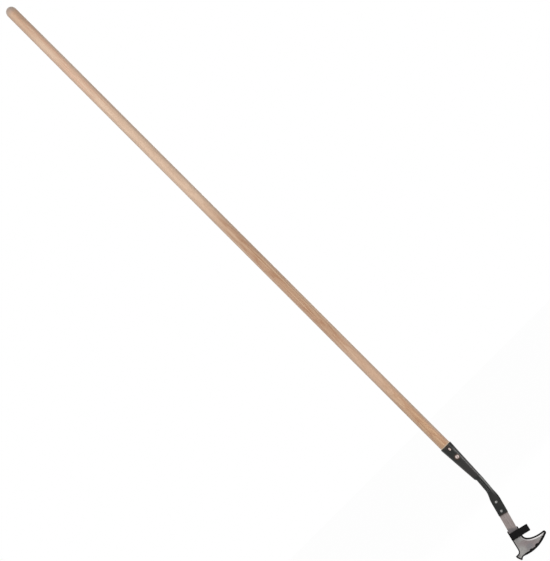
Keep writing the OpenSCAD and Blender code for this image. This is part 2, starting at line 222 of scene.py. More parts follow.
def handle_rings(sides=72):
    """The turned surface, a hair out of round, as a cutter leaves it."""
    domed = butt_dome + butt_round * np.sin(np.radians(np.linspace(3, 88, 24)))
    levels = np.concatenate([
        [handle_low[2], rim_z - cone_len + 4], np.linspace(rim_z - 60, rim_z - 2, 6),
        [rim_z, rim_z + 0.5], np.arange(rim_z + 8, butt_dome - 1, 8.0), [butt_dome], domed])
    angles = np.radians(np.arange(sides) * 360 / sides)
    rings = []
    for z in levels:
        wobble = 0.05 * (1 + np.sin(3 * angles + z / 170) * np.cos(2 * angles - z / 90))
        r = handle_radius(z) * (1 - wobble / handle_r / 2)
        ring = np.stack([r * np.cos(angles), r * np.sin(angles), np.full(sides, z)], axis=1)
        rings.append(leaned(ring))
    return rings


def ash_finish():
    made, place = start_finish("handle_ash")
    x, y, z = (axis_of(place, letter) for letter in "XYZ")
    # The year rings lie round a heart far behind the handle that sways along its length
    sway = cloud(place, (400, 400, 330), 1.0, 3.0) - 0.5
    drift = cloud(place, (300, 300, 520), 1.0, 9.0) - 0.5
    heart_x = x - drift * 46 - 6
    heart_y = y - 34 - sway * 60
    wander = cloud(place, (7, 7, 160), 3.0) * 2.2
    ring = (heart_x * heart_x + heart_y * heart_y).math("SQRT")
    turn = (ring + wander) / 3.4
    across = turn.math("FRACT")
    late = across.step(0.35, 0.9) * across.step(1.0, 0.93)
    # Pores are short dark dashes that gather in the early part of each ring
    dashes = cloud(place, (0.34, 0.34, 9), 2.0).step(0.57, 0.70)
    pores = dashes * (0.25 + 0.75 * across.step(0.45, 0.0))
    fibres = cloud(place, (0.7, 0.7, 60), 4.0)
    broad = cloud(place, (9, 9, 210), 2.0, 5.0)
    # The wood is redder in the middle of the handle, and streaked again by the socket
    middle = z.step(-360, -240) * z.step(240, -30)
    low_end = z.step(-390, -570)
    warmth = (middle * 0.95).math("MAXIMUM", z.step(300, -300) * 0.56 + z.step(700, 830) * 0.50)
    ringed = late * (0.14 + 0.50 * middle + 0.40 * low_end)
    streaks = cloud(place, (3.4, 3.4, 150), 1.0, 12.0).step(0.46, 0.60)
    body = blend(tint(220, 190, 165), tint(182, 144, 115), warmth)
    body = blend(body, tint(186, 148, 108), low_end * 0.55)
    body = blend(body, tint(160, 116, 86), streaks * (0.10 + 0.34 * middle + 0.50 * low_end))
    body = blend(body, tint(216, 152, 124), streaks * z.step(430, 600) * 0.30)
    body = blend(body, tint(165, 120, 90), ringed)
    body = blend(body, tint(172, 134, 104), broad.step(0.45, 0.72) * (0.10 + 0.35 * middle))
    pale = cloud(place, (3.0, 3.0, 170), 1.0, 21.0).step(0.50, 0.64)
    body = blend(body, tint(224, 196, 164), pale * (0.12 + 0.38 * middle))
    body = blend(body, tint(228, 202, 178), fibres.step(0.50, 0.78) * (0.40 - 0.25 * middle))
    body = blend(body, tint(148, 112, 86), pores * 0.50)
    # Painted shade greys the two sides, and the wood is pale where the rim has rubbed it
    side_shade = blend(tint(144, 134, 124), tint(180, 165, 150), middle)
    body = blend(body, side_shade, x.step(5.5, 14.0) * (0.50 + 0.26 * low_end))
    body = blend(body, side_shade, x.step(-5.0, -13.0) * 0.42)
    # Painted shade darkens the flanks just above the socket
    low_flank_shade = (x - 0.5).math("ABSOLUTE").step(1.5, 4.0) * x.step(-10, -5) * z.step(-595, -625)
    body = blend(body, tint(146, 104, 74), low_flank_shade * 0.34)
    body = blend(body, tint(206, 192, 170), z.step(rim_z + 2.8, rim_z + 1.0) * 0.7)
    # A darker streak of painted shade runs along the hook side by the butt, and the end grain is greyed
    butt_shade_streak = x.step(1.0, 4.5) * x.step(11.0, 7.5) * z.step(765, 812)
    body = blend(body, tint(158, 126, 100), butt_shade_streak * 0.34)
    end_grain = z.step(butt_dome - 6, butt_dome + 11)
    body = blend(body, tint(170, 164, 160), end_grain * 0.6)
    relief = fibres * 0.5 - pores * 0.9 + late * 0.25
    rough = 0.52 + 0.14 * fibres + 0.10 * pores
    return finish_with(made, {"Specular IOR Level": 0.32}, Base_Color=body, Roughness=rough,
                       Normal=bump(relief, 0.6, 0.12))


handle = add_piece("ash_handle", *skin(handle_rings()), ash_finish())
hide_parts("handle")
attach(handle, "root")

# Socket: one steel sheet rolled into a long cone round the handle, with an open seam at the back.
# Below a shoulder it is a round neck with a crease down its front, then it bends towards the heel
# side and is pressed flat, two sheets thick, as a pad for the rivets. Satin dark grey paint.
cone_end_z = rim_z - cone_len
shoulder_len = 7.0
neck_r = 8.2
neck_shift = 2.7
neck_lean = np.radians(4.5)
head_lean = np.radians(15.0)
neck_len = 27.0
bend_r = 150.0
pad_len = 49.0
pad_w = 24.4
flatten_len = 31.0
widen_lag = 5.0
seam_gap = 0.8
crease_depth = 1.3
crease_w = 2.6
tang_t = 5.0
tang_lap = 43.0
pad_t = 2 * wall
pad_y = -(tang_t + pad_t) / 2
bend_len = bend_r * (head_lean - neck_lean)
neck_run = neck_len + bend_len + pad_len
flat_q = neck_run - tang_lap - 0.5
fastening_shift = 1.5
handle_rivet_down = 37.8
nail_down = 12.2


def ease(t):
    u = np.clip(t, 0, 1)
    return u * u * (3 - 2 * u)


def lean_at(q):
    return neck_lean + (head_lean - neck_lean) * np.clip((q - neck_len) / bend_len, 0, 1)


def centre_at(q):
    """Place of the tube's centre line, X and Z, a run q past the neck's start."""
    place = np.array([neck_shift, cone_end_z - shoulder_len])
    place = place - min(q, neck_len) * np.array([np.sin(neck_lean), np.cos(neck_lean)])
    if q > neck_len:
        lean = lean_at(q)
        place = place + bend_r * np.array([np.cos(lean) - np.cos(neck_lean),
                                           np.sin(neck_lean) - np.sin(lean)])
    past = max(q - neck_len - bend_len, 0)
    return place - past * np.array([np.sin(head_lean), np.cos(head_lean)])


def tube_outline(q, inset, gap):
    """One turn of the sheet, from one side of the seam to the other, evenly spaced. Its marks
    are how deep in the crease each point lies, and how far on the hook side's front flank."""
    flat = ease((q - flat_q + flatten_len) / flatten_len)
    wide = ease((q - flat_q - widen_lag + flatten_len) / flatten_len)
    half_w = neck_r + (pad_w / 2 - neck_r) * wide - inset
    half_t = neck_r + (pad_t / 2 - neck_r) * flat - min(inset, wall - 0.03)
    power = 2 / (2 + 6 * flat)
    angles = np.radians(np.linspace(90 + gap / 2, 450 - gap / 2, 1440))
    x = half_w * np.sign(np.cos(angles)) * np.abs(np.cos(angles)) ** power
    y = half_t * np.sign(np.sin(angles)) * np.abs(np.sin(angles)) ** power
    crease = crease_depth * ease((q + 5) / 6) * (1 - ease((q - neck_len - bend_len / 3) / 14))
    dent = np.where(y < 0, crease * np.exp(-((x - 2.4 * flat) / crease_w * 2) ** 2), 0)
    run = np.concatenate([[0], np.cumsum(np.hypot(np.diff(x), np.diff(y + dent)))])
    even = np.linspace(0, run[-1], 132)
    x, y, dent = (np.interp(even, run, values) for values in (x, y + dent, dent))
    lean, (cx, cz) = lean_at(q), centre_at(q)
    placed = np.stack([cx + x * np.cos(lean), y + pad_y * flat, cz - x * np.sin(lean)], axis=1)
    share = x / half_w
    flank = ease((share - 0.24) / 0.16) * ease((0.98 - share) / 0.16) * (y < 0) * (1 - flat)
    return placed, np.stack([dent / crease_depth, flank], axis=1)


def cone_outline(down, inset, gap):
    r = rim_r - (rim_r - cone_end_r) * down / cone_len - inset
    angles = np.radians(np.linspace(90 + gap / 2, 450 - gap / 2, 132))
    z = np.full(len(angles), rim_z - down)
    ring = np.stack([r * np.cos(angles), r * np.sin(angles), z], axis=1)
    return leaned(ring), np.zeros((len(angles), 2))


def sheet_ring(run, inset):
    """Ring of the sheet a run below the rim: the cone, the shoulder, then the tube."""
    open_gap = np.degrees(2 * np.arcsin(seam_gap / 2 / rim_r))
    if run <= cone_len:
        return cone_outline(run, inset, open_gap)
    if run < cone_len + shoulder_len:
        t = (run - cone_len) / shoulder_len
        gap = open_gap * (1 - t) + 0.2 * t
        top, _ = cone_outline(cone_len, inset, gap)
        low, marks = tube_outline(0, inset, gap)
        share = np.array([ease(t), ease(t), t])
        return top + (low - top) * share, marks * ease(1.6 * t)
    return tube_outline(run - cone_len - shoulder_len, inset, 0.2)


def socket_mesh():
    full = cone_len + shoulder_len + neck_run
    runs = np.concatenate([[0, 0.35], np.arange(2, cone_len, 2.5), [cone_len],
                           np.arange(cone_len + 0.5, cone_len + shoulder_len, 0.5),
                           np.arange(cone_len + shoulder_len, full - 1, 1.2), [full - 0.4, full]])
    rings = []
    marked = []
    for run in runs:
        edge = 0.3 if run in (0, full) else 0.0
        outer, marks = sheet_ring(run, edge)
        inner, _ = sheet_ring(run, wall - edge * 0.6)
        # The sheet's two edges are a little rounded where they meet in the seam
        outer[[0, -1]] = outer[[0, -1]] * 0.85 + inner[[0, -1]] * 0.15
        rings.append(np.concatenate([outer, inner[::-1]]))
        marked.append(np.concatenate([marks, marks * 0]))
    points, faces = skin(rings, caps=False)
    count = len(rings[0])
    half = count // 2
    last = (len(rings) - 1) * count
    for i in range(half - 1):
        faces.append([i + 1, i, count - 1 - i, count - 2 - i])
        faces.append([last + i, last + i + 1, last + count - 2 - i, last + count - 1 - i])
    return points, faces, np.concatenate(marked)


pad_x, pad_z = centre_at(neck_run)
cone_front = rim_r - (rim_r - cone_end_r) * handle_rivet_down / cone_len


def near(place, spot, inner, outer):
    """1 within the inner distance of a spot, falling to 0 at the outer one."""
    gap = place.node("VectorMath", {"operation": "DISTANCE"}, {0: place, 1: spot}, "Value")
    return gap.step(outer, inner)


def mark_of(place, name):
    return place.node("Attribute", {"attribute_name": name}, {}, "Fac")


def paint_finish():
    made, place = start_finish("socket_satin_paint")
    x, y, z = (axis_of(place, letter) for letter in "XYZ")
    fold, flank = mark_of(place, "fold"), mark_of(place, "flank")
    patches = cloud(place, (9, 9, 24), 3.0)
    fine = cloud(place, (1.3, 1.3, 1.7), 3.0, 4.0)
    drag = cloud(place, (0.5, 0.5, 26), 3.0, 7.0)
    coat = blend(tint(20, 23, 22), tint(35, 35, 33), patches.step(0.3, 0.75))
    # The coat is a little paler on the lower half of the cone
    lower_cone = z.step(rim_z - 38, rim_z - 54) * z.step(cone_end_z - 1, cone_end_z + 5)
    coat = blend(coat, tint(50, 47, 46), lower_cone * 0.55)
    coat = blend(coat, tint(60, 61, 59), drag.step(0.60, 0.78) * 0.25)
    # Rust creeps out from under the rivet and the rim, and at the pad's end
    ragged = (fine - 0.5) * 3
    rust = near(place, (fastening_shift, -cone_front, rim_z - handle_rivet_down), 5.5, 9.0) * 1.5
    rust = rust + near(place, (fastening_shift, -rim_r, rim_z - nail_down), 3.0, 6.5) * 0.5
    rust = rust + (z + ragged).step(rim_z - 9, rim_z - 2) * x.step(9, 3) * x.step(-12, -6) * 0.8
    foot = (z + x * np.tan(head_lean) + ragged).step(pad_z + pad_x * np.tan(head_lean) + 4,
                                                     pad_z + pad_x * np.tan(head_lean))
    rust = (rust + foot * 0.6) * (0.35 + 0.65 * fine.step(0.35, 0.65))
    coat = blend(coat, tint(78, 55, 42), (rust * 0.62).math("MINIMUM", 1.0))
    # A painted highlight makes the flank beside the crease paler
    coat = blend(coat, tint(82, 82, 80), flank * (0.50 + 0.45 * patches.step(0.3, 0.6)))
    # Painted shade darkens the paint by the rim on the hook side, and the paint is duller there
    dull_and_shade = x.step(7, 11) * z.step(rim_z - 24, rim_z - 8)
    coat = blend(coat, tint(12, 11, 10), dull_and_shade * 0.8)
    # Painted shade darkens the crease
    coat = blend(coat, tint(12, 13, 13), fold.step(0.15, 0.8) * 0.9)
    # Bare steel shows along the rim's edge, where it has been knocked
    rim_wear = (z + ragged * 0.2).step(rim_z - 0.7, rim_z - 0.2) * (0.5 + 0.5 * patches.step(0.3, 0.6))
    coat = blend(coat, tint(150, 142, 130), rim_wear * 0.8)
    relief = fine * 0.35 + cloud(place, (4, 4, 6), 2.0, 2.0) + drag * 0.15
    rough = 0.24 + 0.10 * patches + 0.25 * rust + 0.45 * dull_and_shade
    return finish_with(made, {"Specular IOR Level": 0.26}, Base_Color=coat, Roughness=rough,
                       Normal=bump(relief, 0.35, 0.35))


socket_points, socket_faces, socket_marks = socket_mesh()
socket = add_piece("sheet_socket", socket_points, socket_faces, paint_finish(), 50.0,
                   {"fold": socket_marks[:, 0], "flank": socket_marks[:, 1]})
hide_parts("socket")
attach(socket, "root")

# Nail and handle rivet: a nail with an oblong head near the rim, and a round-headed rivet through
# both walls and the handle. Pale dull steel, hammered down after painting, so left unpainted.
nail_len = 20.0
nail_r = 1.5
nail_head = (4.2, 2.2, 1.5)
rivet_r = 3.0
rivet_head = (5.0, 5.0, 2.7)


def cone_y(x, z):
    """Front of the cone at a place, as a distance before the handle's axis."""
    r = rim_r - (rim_r - cone_end_r) * (rim_z - z) / cone_len
    return -np.sqrt(r ** 2 - (x - (rim_z - z) * np.tan(cone_lean)) ** 2)


def head_rings(spot, sizes, foot, seed, dents=0.06, steps=9):
    """Rings of a hammered head, from its top down to a foot that follows what it sits on.
    Sizes are half its length along Z, half its width along X and its height."""
    long, wide, high = sizes
    angles = np.radians(np.arange(48) * 7.5)
    luck = np.random.default_rng(seed)
    phases = luck.uniform(0, 2 * np.pi, 6)
    amounts = luck.uniform(0.3, 1.0, 6)
    outline = sum(a * np.sin((k + 2) * angles + p) for k, (a, p) in enumerate(zip(amounts, phases)))
    outline = 1 - dents * (0.5 + outline / 6)
    square = (np.abs(np.cos(angles)) ** 2.6 + np.abs(np.sin(angles)) ** 2.6) ** (-1 / 2.6)
    if long == wide:
        square = np.ones(len(angles))
    rings = []
    for k in range(steps + 1):
        tip = np.radians(86 * (1 - k / steps))
        spread = np.cos(tip) * outline * square
        x = spot[0] + wide * spread * np.cos(angles)
        z = spot[1] + long * spread * np.sin(angles)
        facet = dents * high * np.sin(2 * angles + phases[0]) * np.sin(2 * tip) * 0.8
        lift = high * np.sin(tip) * (1 - dents) + facet
        ground = foot(x, z)
        level = ground * (1 - np.sin(tip)) + foot(*spot) * np.sin(tip)
        rings.append(np.stack([x, level - lift, z], axis=1))
    rings.append(np.stack([rings[-1][:, 0], rings[-1][:, 1] + 0.25, rings[-1][:, 2]], axis=1))
    return rings


def shank_ring(spot, r, y):
    angles = np.radians(np.arange(48) * 7.5)
    return np.stack([spot[0] + r * np.cos(angles), np.full(48, float(y)),
                     spot[1] + r * np.sin(angles)], axis=1)


def pale_steel_finish():
    made, place = start_finish("pale_hammered_steel")
    patches = cloud(place, (2.4, 2.4, 2.4), 3.0)
    fine = cloud(place, (0.5, 0.5, 0.5), 3.0, 3.0)
    metal = blend(tint(182, 168, 163), tint(164, 148, 141), patches.step(0.40, 0.75))
    metal = blend(metal, tint(134, 112, 100), fine.step(0.62, 0.8) * 0.35)
    rough = 0.42 + 0.2 * fine
    return finish_with(made, {"Metallic": 0.75}, Base_Color=metal, Roughness=rough,
                       Normal=bump(patches + fine * 0.3, 0.5, 0.18))


pale_steel = pale_steel_finish()
nail_spot = np.array([fastening_shift, rim_z - nail_down])
nail_front = float(cone_y(*nail_spot))
nail_rings = head_rings(nail_spot, nail_head, cone_y, 4, 0.05)
nail_rings += [shank_ring(nail_spot, nail_r, nail_front + 0.6),
               shank_ring(nail_spot, nail_r, nail_front + nail_len - 4),
               shank_ring(nail_spot, 0.25, nail_front + nail_len)]
nail = add_piece("oblong_nail", *skin(nail_rings), pale_steel, 40.0)
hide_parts("socket_nail")
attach(nail, "root")


def flip_rings(rings):
    """The same rings on the other side of the part, in the order that goes on from a shank."""
    return [ring * [1, -1, 1] for ring in rings[::-1]]


rivet_spot = np.array([fastening_shift, rim_z - handle_rivet_down])
rivet_rings = head_rings(rivet_spot, rivet_head, cone_y, 11, 0.03)
rivet_rings += [shank_ring(rivet_spot, rivet_r, -cone_front + 1),
                shank_ring(rivet_spot, rivet_r, cone_front - 1)]
rivet_rings += flip_rings(head_rings(rivet_spot, rivet_head, cone_y, 12, 0.06))
rivet = add_piece("handle_rivet_round", *skin(rivet_rings), pale_steel, 50.0)
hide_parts("handle_rivet")
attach(rivet, "root")

# Tang: a flat steel bar behind the pad, which carries the blade. Bare bright bar, brushed along
# its length, with its edges eased by hand. It ends against the stop bar.
tang_w = 23.0
tang_show = 41.4
tang_corner = 3.0
stop_down = 7.2
stop_rise = np.radians(1.5)


def on_head(points):
    """Points in the tang's own frame, across, to the back and up from the pad's end."""
    x, y, z = np.asarray(points, float).T
    return np.stack([pad_x + x * np.cos(head_lean) + z * np.sin(head_lean), y,
                     pad_z - x * np.sin(head_lean) + z * np.cos(head_lean)], axis=1)


def arc(x, z, r, start, end, steps=8):
    angles = np.radians(np.linspace(start, end, steps + 1))
    return np.stack([x + r * np.cos(angles), z + r * np.sin(angles)], axis=1)


def inset(outline, distance):
    """The outline drawn inwards. It runs anticlockwise, X to the right and Z up."""
    along = np.roll(outline, -1, axis=0) - np.roll(outline, 1, axis=0)
    along /= np.linalg.norm(along, axis=1)[:, None]
    return outline + distance * np.stack([-along[:, 1], along[:, 0]], axis=1)


def plate(outline, front, back, eased):
    """Rings of a flat plate from its front to its back, with eased edges."""
    rings = []
    for angle in np.radians(np.linspace(0, 90, 5)):
        drawn = inset(outline, eased * (1 - np.sin(angle)))
        rings.append((drawn, front + eased * (1 - np.cos(angle))))
    for angle in np.radians(np.linspace(90, 0, 5)):
        drawn = inset(outline, eased * (1 - np.sin(angle)))
        rings.append((drawn, back - eased * (1 - np.cos(angle))))
    return [on_head(np.insert(drawn, 1, y, axis=1)) for drawn, y in rings]


def stop_edge(x):
    """Height of the stop bar's upper edge, in the tang's frame."""
    return -(tang_show + stop_down) + x * np.tan(stop_rise)


def tang_outline():
    small = 0.6
    half = tang_w / 2
    return np.concatenate([
        arc(-half + small, stop_edge(-half) + small, small, 180, 270, 4),
        arc(half - small, stop_edge(half) + small, small, 270, 360, 4),
        arc(half - tang_corner, tang_lap - tang_corner, tang_corner, 0, 90),
        arc(-half + tang_corner, tang_lap - tang_corner, tang_corner, 90, 180)])


def head_place(place):
    """The place in the tang's own frame, so that marks can follow the tang."""
    moved = place.node("VectorMath", {"operation": "SUBTRACT"}, {0: place, 1: (pad_x, 0, pad_z)})
    return moved.node("VectorRotate", {"rotation_type": "Y_AXIS"},
                      {"Vector": moved, "Angle": -float(head_lean)})


def tang_finish():
    made, place = start_finish("tang_brushed_bar")
    place = head_place(place)
    x, z = axis_of(place, "X"), axis_of(place, "Z")
    brush = cloud(place, (0.22, 0.22, 22), 4.0)
    wide_brush = cloud(place, (1.6, 1.6, 40), 2.0, 6.0)
    patches = cloud(place, (7, 7, 12), 3.0, 2.0)
    metal = blend(tint(150, 140, 137), tint(130, 119, 117), wide_brush.step(0.35, 0.7))
    metal = blend(metal, tint(168, 158, 154), brush.step(0.52, 0.70) * 0.6)
    metal = blend(metal, tint(108, 98, 95), brush.step(0.42, 0.30) * 0.5)
    metal = blend(metal, tint(118, 105, 101), patches.step(0.52, 0.78) * 0.35)
    # The end by the bar is greyer, and painted shadow darkens the tang just below the pad's end
    bar_end_grey = (patches * 4 + z + x * 0.35).step(-34, -41)
    metal = blend(metal, tint(96, 93, 95), bar_end_grey * 0.8)
    metal = blend(metal, tint(92, 84, 80), (patches * 3 + z).step(-3, 1) * 0.5)
    edge = x.math("ABSOLUTE").step(tang_w / 2 - 1.4, tang_w / 2 - 0.2)
    metal = blend(metal, tint(172, 165, 162), edge * 0.35)
    rough = 0.46 + 0.14 * brush + 0.1 * patches
    return finish_with(made, {"Metallic": 0.72}, Base_Color=metal, Roughness=rough,
                       Normal=bump(brush + patches * 0.8, 0.35, 0.05))


tang = add_piece("flat_tang", *skin(plate(tang_outline(), -tang_t / 2, tang_t / 2, 0.45)),
                 tang_finish())
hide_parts("tang")
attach(tang, "root")

# Tang rivets: two soft steel rivets through the pad and the tang. Their heads were peened with a
# hammer and then painted with the socket, and the paint has worn off where they stand proud.
tang_rivet_r = 3.0
tang_rivet_head = (4.8, 4.8, 2.4)
tang_rivet_edge = 9.0
tang_rivet_pitch = 25.0
pad_front = pad_y - pad_t / 2


def peened_finish(spot):
    made, place = start_finish("peened_rivet")
    own = head_place(place)
    patches = cloud(place, (2.2, 2.2, 2.2), 3.0)
    fine = cloud(place, (0.6, 0.6, 0.6), 3.0, 5.0)
    across = axis_of(own, "X") + 1.3 + (patches - 0.5) * 6
    up = axis_of(own, "Z") - spot + (fine - 0.5) * 3
    gap = (across * across + up * up).math("SQRT")
    # The bare patch is worn paint and a painted highlight in one
    bare_and_highlight = gap.step(4.0, 2.4)
    metal = blend(tint(34, 34, 33), tint(146, 145, 143), bare_and_highlight)
    metal = blend(metal, tint(104, 100, 97), fine.step(0.55, 0.75) * 0.4)
    rough = 0.45 + 0.2 * fine
    return finish_with(made, {"Specular IOR Level": 0.25}, Base_Color=metal, Roughness=rough,
                       Metallic=bare_and_highlight * 0.7, Normal=bump(patches + fine * 0.3, 0.6, 0.25))


for number, up in enumerate([tang_rivet_edge + tang_rivet_pitch, tang_rivet_edge]):
    spot = np.array([0.0, up])
    front = head_rings(spot, tang_rivet_head, lambda x, z: np.zeros(np.shape(x)), 21 + number, 0.16)
    back = head_rings(spot, tang_rivet_head, lambda x, z: np.zeros(np.shape(x)), 31 + number, 0.12)
    rings = [ring + [0, pad_front, 0] for ring in front]
    rings += [shank_ring(spot, tang_rivet_r, pad_front + 0.3),
              shank_ring(spot, tang_rivet_r, tang_t / 2 - 0.3)]
    rings += [ring + [0, tang_t / 2, 0] for ring in flip_rings(back)]
    name = ["upper_tang_rivet", "lower_tang_rivet"][number]
    piece = add_piece("peened_" + name, *skin([on_head(ring) for ring in rings]),
                      peened_finish(up), 55.0)
    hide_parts(name)
    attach(piece, "root")

# Blade: a steel plate cut to a long hook on one side and a short flared heel on the other. Its
# face is ground, its edges are bevelled and keep their black scale, most of all along the belly,
# and a line is honed just inside the throat's edge, with a painted highlight along it. It lies
# against the tang's back.
blade_t = 4.0
blade_w = 29.0
blade_h = 72.2
hook_reach = 67.0
hook_down = 41.0
hook_tip_r = 5.0
throat_side = 13.8
throat_down = 26.0
throat_flare = 0.2
throat_lead = 7.0
heel_reach = 25.5
heel_down = 61.5
heel_h = 15.5
heel_r = 2.0
top_r = 3.0
bevel_slope = 0.55
half_blade = blade_w / 2
side_x = 1.5 - half_blade
belly_end = (-5, blade_h - 0.9, 2.2)
heel_tip_x = heel_reach - heel_h * 0.6
heel_tip_y = heel_down + heel_h
tip_x = hook_reach - hook_tip_r
tip_y = hook_down + hook_tip_r
tip_turn = 52.0


def curve(handles, steps=60):
    """Points of a smooth curve that hangs on its handles, its last point left out."""
    share = (np.arange(steps) / steps)[:, None]
    level = [np.array(handle, float) * np.ones((steps, 1)) for handle in handles]
    while len(level) > 1:
        level = [a * (1 - share) + b * share for a, b in zip(level, level[1:])]
    return level[0]


def corner(x, y, r, start, end, bevel):
    return np.insert(arc(x, y, r, start, end, 16), 2, bevel, axis=1)


# Each stretch of the edge: its points across, down and the bevel's width there, then the width of
# its black scale, how black that is, and how bright the painted highlight on the honed line beside it is
edge_stretches = [
    (corner(-half_blade + 1.5, 1.5, 1.5, 180, 270, 0.6), 3.0, 0.95, 0.0),
    (corner(half_blade - top_r, top_r, top_r, -90, 0, 0.6), 3.4, 0.96, 0.0),
    (curve([(throat_side + throat_flare, throat_down - throat_lead, 0.6),
            (throat_side, throat_down, 1.8)], 8), 3.6, 1.0, 0.1),
    (curve([(throat_side, throat_down, 1.8),
            (throat_side + throat_flare, throat_down + 2 * throat_lead, 4.2),
            (hook_reach * 0.58, hook_down + hook_tip_r * 0.84, 3), (tip_x, hook_down, 3)], 110),
     3.8, 1.0, 1.0),
    (corner(tip_x, tip_y, hook_tip_r, -90, tip_turn, 3), 4.8, 1.0, 0.4),
    (curve([(tip_x + hook_tip_r * np.cos(np.radians(tip_turn)),
             tip_y + hook_tip_r * np.sin(np.radians(tip_turn)), 3),
            (hook_reach * 0.66, blade_h - 5.8, 5.7), (hook_reach / 3, blade_h + 2.3, 5.3),
            belly_end], 120), 5.4, 1.0, 0.0),
    (curve([belly_end, (-half_blade + 3.4, blade_h - 1.8, 2.2),
            (-half_blade + 0.4, heel_tip_y - 1.5, 0.9)], 16), 3.4, 0.95, 0.0),
    (corner(-heel_tip_x, heel_tip_y - heel_r, heel_r, 40, 134, 0.9), 4.2, 1.0, 0.0),
    (curve([(-heel_tip_x - 1.2 * heel_r, heel_tip_y - 0.8 * heel_r, 0.9),
            (-heel_reach + 0.4 * heel_r, heel_down + 0.46 * heel_h, 3.1),
            (-heel_reach + 0.1 * heel_r, heel_down + 1.6 * heel_r, 0.9)], 16), 3.6, 0.95, 0.0),
    (corner(-heel_reach + heel_r, heel_down + heel_r, heel_r, 170, 255, 0.9), 3.7, 0.94, 0.0),
    (curve([(-heel_reach + 2.1 * heel_r, heel_down - 0.4, 2.2), (side_x, heel_down - 1.5, 2.2),
            (side_x, heel_down - 10, 2.2)], 20), 2.9, 0.95, 0.0),
    (curve([(side_x, heel_down - 10, 2.2), (-half_blade, 4.5, 2.2)], 40), 2.7, 0.93, 0.0)]


def blade_edge(spacing=0.45):
    """The whole edge at an even spacing: across, down, bevel, scale, blackness and honed line, whose
    brightness is a painted highlight.
    """
    rows = []
    for points, scale, black, honed in edge_stretches:
        extra = np.tile([scale, black, honed], (len(points), 1))
        rows.append(np.hstack([points, extra]))
    rows = np.vstack(rows)
    closed = np.vstack([rows, rows[:1]])
    run = np.concatenate([[0], np.cumsum(np.hypot(*np.diff(closed[:, :2], axis=0).T))])
    even = np.linspace(0, run[-1], int(run[-1] / spacing), endpoint=False)
    edge = np.stack([np.interp(even, run, closed[:, k]) for k in range(6)], axis=1)
    window = np.hanning(19)
    window /= window.sum()
    for k in (2, 3, 4, 5):
        wrapped = np.concatenate([edge[-9:, k], edge[:, k], edge[:9, k]])
        edge[:, k] = np.convolve(wrapped, window, "valid")
    return edge


def nearest_edge(points, edge):
    """Distance of each point to the edge, and which of its points is nearest."""
    flat = edge[:, :2]
    ends = np.roll(flat, -1, axis=0)
    best = np.full(len(points), 1e9)
    which = np.zeros(len(points), int)
    for i, (a, b) in enumerate(zip(flat, ends)):
        along = b - a
        t = np.clip(((points - a) @ along) / (along @ along), 0, 1)
        gap = np.linalg.norm(points - a - t[:, None] * along, axis=1)
        closer = gap < best
        best[closer] = gap[closer]
        which[closer] = i
    return best, which


def fill(edge, inner):
    """Triangles over the blade's outline, through the inner points."""
    flat = [Vector(p) for p in np.vstack([edge[:, :2], inner])]
    found = delaunay_2d_cdt(flat, [], [list(range(len(edge)))], 1, 1e-6)
    return np.array([tuple(p) for p in found[0]]), [list(f) for f in found[2]]


def blade_mesh():
    edge = blade_edge()
    low, high = edge[:, :2].min(0), edge[:, :2].max(0)
    across, down = np.meshgrid(np.arange(low[0], high[0], 0.8), np.arange(low[1], high[1], 0.8))
    luck = np.random.default_rng(5)
    grid = np.stack([across.ravel(), down.ravel()], axis=1)
    grid = grid + luck.uniform(-0.16, 0.16, grid.shape)
    along = np.roll(edge[:, :2], -1, axis=0) - np.roll(edge[:, :2], 1, axis=0)
    along /= np.linalg.norm(along, axis=1)[:, None]
    inwards = np.stack([-along[:, 1], along[:, 0]], axis=1)
    bands = []
    for share in (0.25, 0.5, 0.75, 0.97, 1.06, 1.3):
        reach = edge[:, 2] * share
        band = edge[:, :2] + inwards * reach[:, None]
        gap, _ = nearest_edge(band, edge)
        bands.append(band[gap > reach * 0.93])
    bands = np.vstack(bands)
    inside = edge_side(grid, edge)
    gap, which = nearest_edge(grid, edge)
    inner = np.vstack([bands, grid[inside & (gap > edge[which, 2] * 1.3 + 0.4)]])
    face, face_tris = fill(edge, inner)
    gap, which = nearest_edge(face, edge)
    bevel = edge[which, 2]
    slant = np.clip(1 - gap / bevel, 0, 1)
    knocks = np.sin(face[:, 0] * 1.7 + np.sin(face[:, 1] * 0.9)) * np.sin(face[:, 1] * 1.3)
    depth = bevel * bevel_slope * slant + 0.08 * (1 + knocks) * ease(slant * 3)
    hollow = 0.22 * edge[which, 5] * np.exp(-((gap - 3.9) / 1.3) ** 2)
    front_y = tang_t / 2 + depth + hollow
    back, back_tris = fill(edge, grid[inside & (nearest_edge(grid, edge)[0] > 0.6)][::5])
    back_y = np.full(len(back), tang_t / 2 + blade_t)
    back_gap, back_which = nearest_edge(back, edge)
    back_y -= 0.25 * np.clip(1 - back_gap / 0.5, 0, 1)
    count = len(face)
    points = np.vstack([np.stack([face[:, 0], front_y, -face[:, 1]], axis=1),
                        np.stack([back[:, 0], back_y, -back[:, 1]], axis=1)])
    faces = face_tris + [[count + i for i in f[::-1]] for f in back_tris]
    size = len(edge)
    for i in range(size):
        j = (i + 1) % size
        faces.append([i, j, count + j, count + i])
    marks = {"edge_gap": np.concatenate([gap, back_gap]),
             "scale_w": np.concatenate([edge[which, 3], edge[back_which, 3] * 0.5]),
             "black": np.concatenate([edge[which, 4], edge[back_which, 4]]),
             "honed": np.concatenate([edge[which, 5], np.zeros(len(back))])}
    return on_head(points - [0, 0, tang_show]), faces, marks


def edge_side(points, edge):
    """Which points lie inside the edge."""
    flat = edge[:, :2]
    ends = np.roll(flat, -1, axis=0)
    crossings = np.zeros(len(points), int)
    for a, b in zip(flat, ends):
        spans = (a[1] > points[:, 1]) != (b[1] > points[:, 1])
        if spans.any():
            meet = a[0] + (points[:, 1] - a[1]) * (b[0] - a[0]) / (b[1] - a[1] + 1e-12)
            crossings += spans & (points[:, 0] < meet)
    return crossings % 2 == 1


